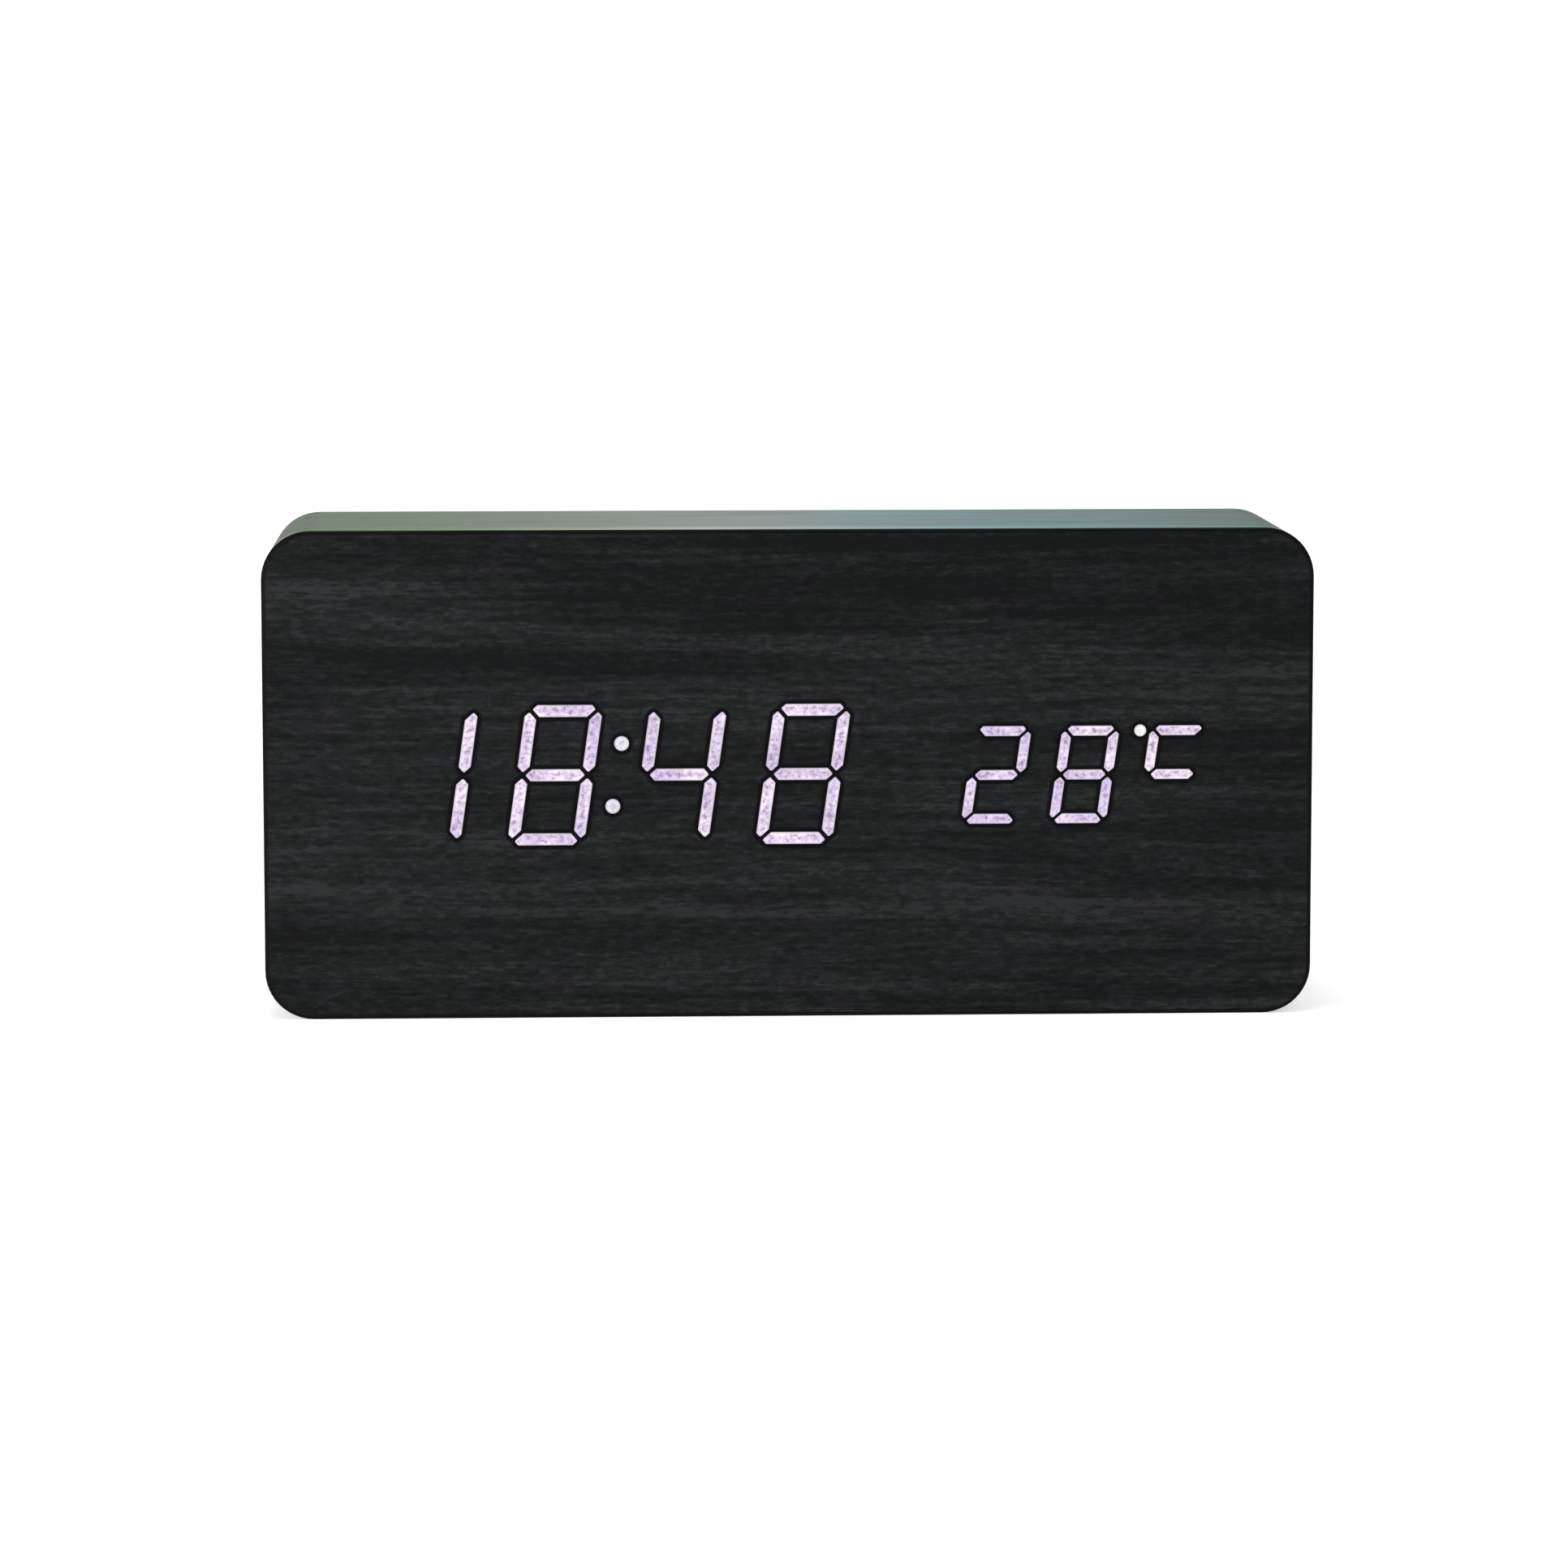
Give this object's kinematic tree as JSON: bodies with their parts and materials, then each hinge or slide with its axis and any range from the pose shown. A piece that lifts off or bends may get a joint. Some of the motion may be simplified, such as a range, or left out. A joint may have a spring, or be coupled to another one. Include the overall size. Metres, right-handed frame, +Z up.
{
  "type": "digital alarm clock",
  "caption": "Block-shaped desk clock in a black wood-grain case: slanted lit figures shine through the front, with buttons, a power socket and a battery door at the rear.",
  "frame": {"origin": "centre of the base, on the surface that the clock stands on", "axes": "+X to the right of the figures as they are read, +Y from the front to the rear, +Z up"},
  "size_m": [0.15, 0.04, 0.07],
  "materials": {
    "case_wood": "satin black grain",
    "grain_film": "satin black wood grain",
    "mask_plastic": "matte black",
    "lit_plastic": "lit from behind",
    "dark_plastic": "milky, not lit",
    "circuit_board": "green solder resist",
    "light_source": "pale yellow",
    "screw_steel": "zinc plated",
    "black_steel": "blackened",
    "chip_plastic": "moulded",
    "can_metal": "drawn can",
    "cell_wrap": "printed wrap",
    "coin_metal": "nickel plated",
    "contact_metal": "nickel plated",
    "spring_steel": "bright",
    "connector_plastic": "ivory",
    "ribbon_plastic": "grey",
    "red_insulation": "soft",
    "black_insulation": "soft",
    "buzzer_plastic": "moulded",
    "bead_epoxy": "dipped",
    "socket_metal": "drawn shell",
    "socket_plastic": "moulded",
    "cover_plastic": "fine moulded grain",
    "button_plastic": "smooth"
  },
  "bodies": {
    "clock_body": {"case_shell": "case_wood", "front_film": "grain_film", "segment_mask": "mask_plastic", "time_segments": "lit_plastic", "colon_dots": "lit_plastic", "temperature_segments": "lit_plastic", "degree_dot": "lit_plastic", "dark_segments": "dark_plastic", "display_board": "circuit_board", "segment_leds": "light_source", "display_screws": "screw_steel", "controller_chip": "chip_plastic", "driver_chips": "chip_plastic", "board_resistors": "chip_plastic", "timing_crystal": "can_metal", "backup_holder": "buzzer_plastic", "backup_cell": "coin_metal", "backup_clip": "contact_metal", "display_connector": "connector_plastic", "ribbon_cable": "ribbon_plastic", "control_connector": "connector_plastic", "control_board": "circuit_board", "control_board_screws": "screw_steel", "switch_bases": "chip_plastic", "switch_lids": "contact_metal", "buzzer": "buzzer_plastic", "microphone": "can_metal", "temperature_sensor": "bead_epoxy", "usb_shell": "socket_metal", "usb_tongue": "socket_plastic", "rear_cover": "cover_plastic", "cover_screws": "black_steel", "battery_cells": "cell_wrap", "contact_plates": "contact_metal", "spring_coils": "spring_steel", "red_lead": "red_insulation", "black_lead": "black_insulation"},
    "battery_door_body": {"battery_door": "cover_plastic", "door_latch": "cover_plastic"},
    "set_key": {"set_button": "button_plastic", "set_plunger": "chip_plastic"},
    "up_key": {"up_button": "button_plastic", "up_plunger": "chip_plastic"},
    "down_key": {"down_button": "button_plastic", "down_plunger": "chip_plastic"}
  },
  "joints": [
    {"name": "battery_door_hinge", "type": "hinge", "parent": "clock_body", "child": "battery_door_body", "pos_m": [-0.00055, 0.01825, 0.035], "axis": [0, 0, 1], "range_deg": [0, 75], "deforming": ["door_latch"]},
    {"name": "set_press", "type": "slide", "parent": "clock_body", "child": "set_key", "axis": [0, -1, 0], "range_m": [0, 0.0005], "stiffness_N_per_m": 400, "springref_m": -0.003},
    {"name": "up_press", "type": "slide", "parent": "clock_body", "child": "up_key", "axis": [0, -1, 0], "range_m": [0, 0.0005], "stiffness_N_per_m": 400, "springref_m": -0.003},
    {"name": "down_press", "type": "slide", "parent": "clock_body", "child": "down_key", "axis": [0, -1, 0], "range_m": [0, 0.0005], "stiffness_N_per_m": 400, "springref_m": -0.003}
  ]
}
